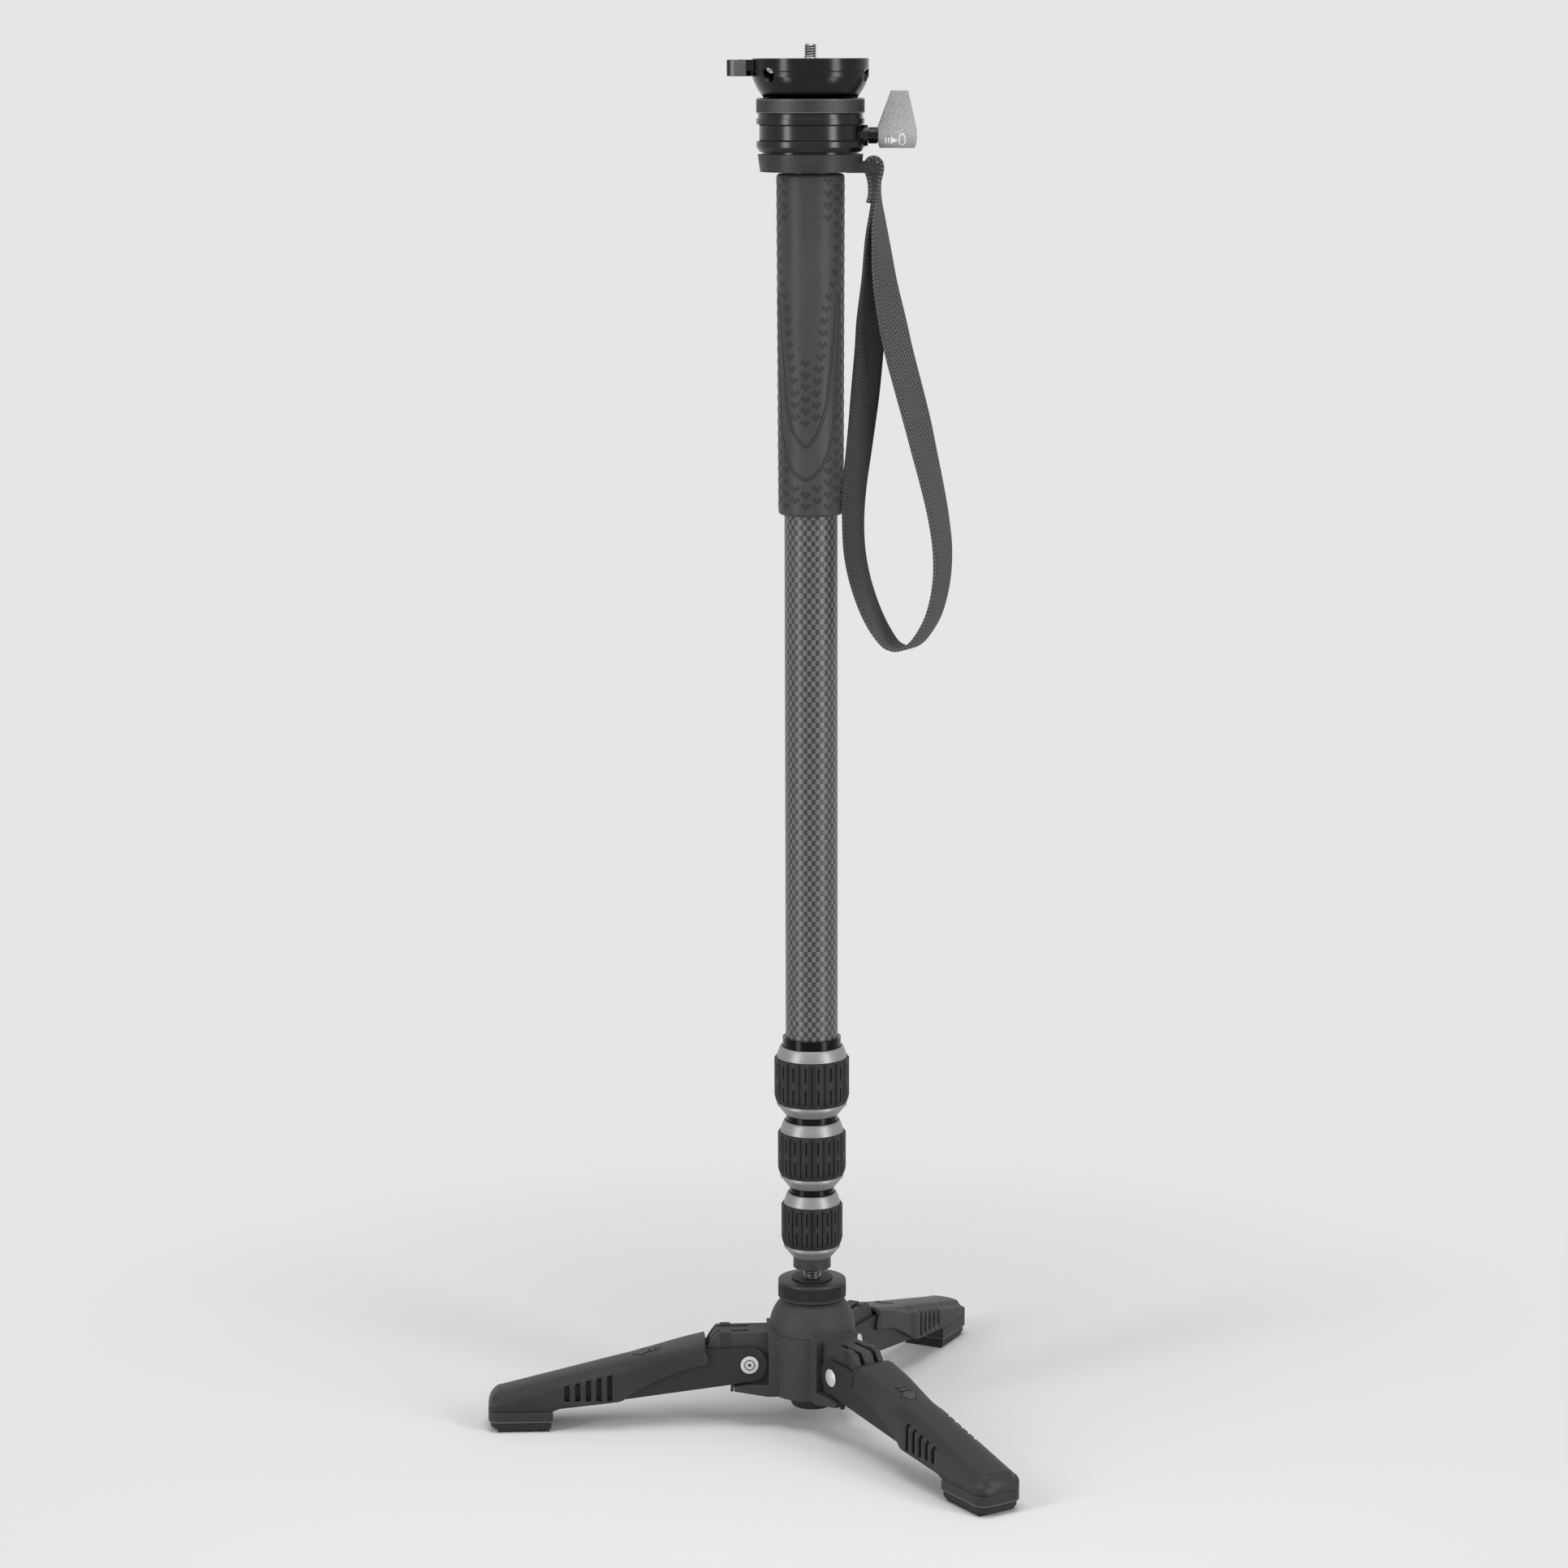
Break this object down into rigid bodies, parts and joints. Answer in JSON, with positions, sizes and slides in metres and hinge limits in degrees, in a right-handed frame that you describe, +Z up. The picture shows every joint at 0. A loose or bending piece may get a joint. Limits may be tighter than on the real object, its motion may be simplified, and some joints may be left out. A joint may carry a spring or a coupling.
{
  "type": "camera monopod",
  "caption": "Telescopic camera monopod with a levelling head, rubber grip, wrist strap, twist locks and a fold-out foot on a ball joint.",
  "frame": {"origin": "centre of the flat tip of the rubber foot under the pole", "axes": "+Z up along the pole to the camera screw; +X towards the head's lever and the strap; the head's bubble level lies at -X"},
  "size_m": [0.2822, 0.3147, 0.7413],
  "materials": {
    "black_metal": "satin black anodised",
    "ring_metal": "black, knurled",
    "silver_metal": "turned, satin",
    "lever_metal": "grey anodised",
    "steel": "machined",
    "brass": "machined",
    "carbon": "woven carbon under clear coat",
    "soft_rubber": "matt rubber",
    "grip_rubber": "matt foamed rubber",
    "black_plastic": "fine grain",
    "leg_plastic": "satin, fine grain",
    "slip_plastic": "plain acetal",
    "webbing": "woven webbing",
    "level_glass": "clear, filled"
  },
  "bodies": {
    "hub": {"hub": "leg_plastic", "rubber_foot": "soft_rubber", "pivot_pins": "steel"},
    "foot_seat": {"ball_seat": "slip_plastic"},
    "stem": {"ball_stud": "steel", "stud_washer": "soft_rubber", "end_cap": "black_plastic", "tube_4": "carbon", "guide_shims_4": "slip_plastic"},
    "knob": {"knob": "ring_metal"},
    "section_3": {"tube_3": "carbon", "lock_base_3": "black_metal", "lock_collet_3": "slip_plastic", "guide_shims_3": "slip_plastic"},
    "section_2": {"tube_2": "carbon", "lock_base_2": "black_metal", "lock_collet_2": "slip_plastic", "guide_shims_2": "slip_plastic"},
    "section_1": {"tube_1": "carbon", "grip": "grip_rubber", "top_plug": "silver_metal", "top_collar": "black_plastic", "strap": "webbing", "lock_base_1": "black_metal", "lock_collet_1": "slip_plastic", "leveling_body": "black_metal", "clamp_shoe": "brass"},
    "nut_3": {"lock_nut_3": "silver_metal", "lock_sleeve_3": "soft_rubber"},
    "nut_2": {"lock_nut_2": "silver_metal", "lock_sleeve_2": "soft_rubber"},
    "nut_1": {"lock_nut_1": "silver_metal", "lock_sleeve_1": "soft_rubber"},
    "ring": {"lock_ring": "ring_metal"},
    "lever": {"lever_screw": "steel", "lever_cap_screw": "steel"},
    "handle": {"lever_handle": "lever_metal", "lever_spring": "steel"},
    "head_seat": {"level_seat": "slip_plastic"},
    "head": {"level_ball": "black_metal", "ball_retainer": "steel", "platform_disc": "black_metal", "camera_screw": "steel", "bubble_vial": "level_glass", "grub_screws": "steel"},
    "left_leg": {"left_arm": "black_metal", "left_spring": "steel"},
    "left_slide": {"left_shell": "leg_plastic", "left_pad": "black_plastic", "left_sole": "soft_rubber"},
    "front_leg": {"front_arm": "black_metal", "front_spring": "steel"},
    "front_slide": {"front_shell": "leg_plastic", "front_pad": "black_plastic", "front_sole": "soft_rubber"},
    "rear_leg": {"rear_arm": "black_metal", "rear_spring": "steel"},
    "rear_slide": {"rear_shell": "leg_plastic", "rear_pad": "black_plastic", "rear_sole": "soft_rubber"}
  },
  "joints": [
    {"name": "foot_pan", "type": "hinge", "parent": "hub", "child": "foot_seat", "pos_m": [0, 0, 0.0435], "axis": [0, 0, 1], "continuous": true},
    {"name": "foot_tilt", "type": "hinge", "parent": "foot_seat", "child": "stem", "pos_m": [0, 0, 0.0435], "axis": [0, -1, 0], "range_deg": [-15, 15]},
    {"name": "knob_turn", "type": "hinge", "parent": "stem", "child": "knob", "pos_m": [0, 0, 0.0435], "axis": [0, 0, 1], "range_deg": [0, 270]},
    {"name": "section_3_slide", "type": "slide", "parent": "stem", "child": "section_3", "axis": [0, 0, 1], "range_m": [0, 0.37]},
    {"name": "section_2_slide", "type": "slide", "parent": "section_3", "child": "section_2", "axis": [0, 0, 1], "range_m": [0, 0.37]},
    {"name": "section_1_slide", "type": "slide", "parent": "section_2", "child": "section_1", "axis": [0, 0, 1], "range_m": [0, 0.37]},
    {"name": "lock_3_turn", "type": "hinge", "parent": "section_3", "child": "nut_3", "pos_m": [0, 0, 0.0435], "axis": [0, 0, 1], "range_deg": [0, 120]},
    {"name": "lock_2_turn", "type": "hinge", "parent": "section_2", "child": "nut_2", "pos_m": [0, 0, 0.0435], "axis": [0, 0, 1], "range_deg": [0, 120]},
    {"name": "lock_1_turn", "type": "hinge", "parent": "section_1", "child": "nut_1", "pos_m": [0, 0, 0.0435], "axis": [0, 0, 1], "range_deg": [0, 120]},
    {"name": "ring_turn", "type": "hinge", "parent": "section_1", "child": "ring", "pos_m": [0, 0, 0.7244], "axis": [0, 0, 1], "range_deg": [0, 90]},
    {"name": "lever_turn", "type": "hinge", "parent": "section_1", "child": "lever", "pos_m": [0.03, 0, 0.6851], "axis": [1, 0, 0], "range_deg": [0, 90]},
    {"name": "lever_pull", "type": "slide", "parent": "lever", "child": "handle", "axis": [1, 0, 0], "range_m": [0, 0.004], "stiffness_N_per_m": 400, "springref_m": -0.005, "deforming": ["lever_spring"]},
    {"name": "level_pan", "type": "hinge", "parent": "section_1", "child": "head_seat", "pos_m": [0, 0, 0.7244], "axis": [0, 0, 1], "continuous": true},
    {"name": "level_tilt", "type": "hinge", "parent": "head_seat", "child": "head", "pos_m": [0, 0, 0.7244], "axis": [0, 1, 0], "range_deg": [-12, 12]},
    {"name": "left_leg_fold", "type": "hinge", "parent": "hub", "child": "left_leg", "pos_m": [-0.03465, -0.00182, 0.026], "axis": [-0.0523, 0.9986, 0], "range_deg": [0, 82]},
    {"name": "left_sleeve_slide", "type": "slide", "parent": "left_leg", "child": "left_slide", "axis": [-0.971, -0.0509, -0.2337], "range_m": [0, 0.008], "stiffness_N_per_m": 600, "springref_m": -0.01, "deforming": ["left_spring"]},
    {"name": "front_leg_fold", "type": "hinge", "parent": "hub", "child": "front_leg", "pos_m": [0.0189, -0.0291, 0.026], "axis": [-0.8387, -0.5446, 0], "range_deg": [0, 82]},
    {"name": "front_sleeve_slide", "type": "slide", "parent": "front_leg", "child": "front_slide", "axis": [0.5296, -0.8154, -0.2337], "range_m": [0, 0.008], "stiffness_N_per_m": 600, "springref_m": -0.01, "deforming": ["front_spring"]},
    {"name": "rear_leg_fold", "type": "hinge", "parent": "hub", "child": "rear_leg", "pos_m": [0.01575, 0.03092, 0.026], "axis": [0.891, -0.454, 0], "range_deg": [0, 82]},
    {"name": "rear_sleeve_slide", "type": "slide", "parent": "rear_leg", "child": "rear_slide", "axis": [0.4414, 0.8663, -0.2337], "range_m": [0, 0.008], "stiffness_N_per_m": 600, "springref_m": -0.01, "deforming": ["rear_spring"]}
  ]
}
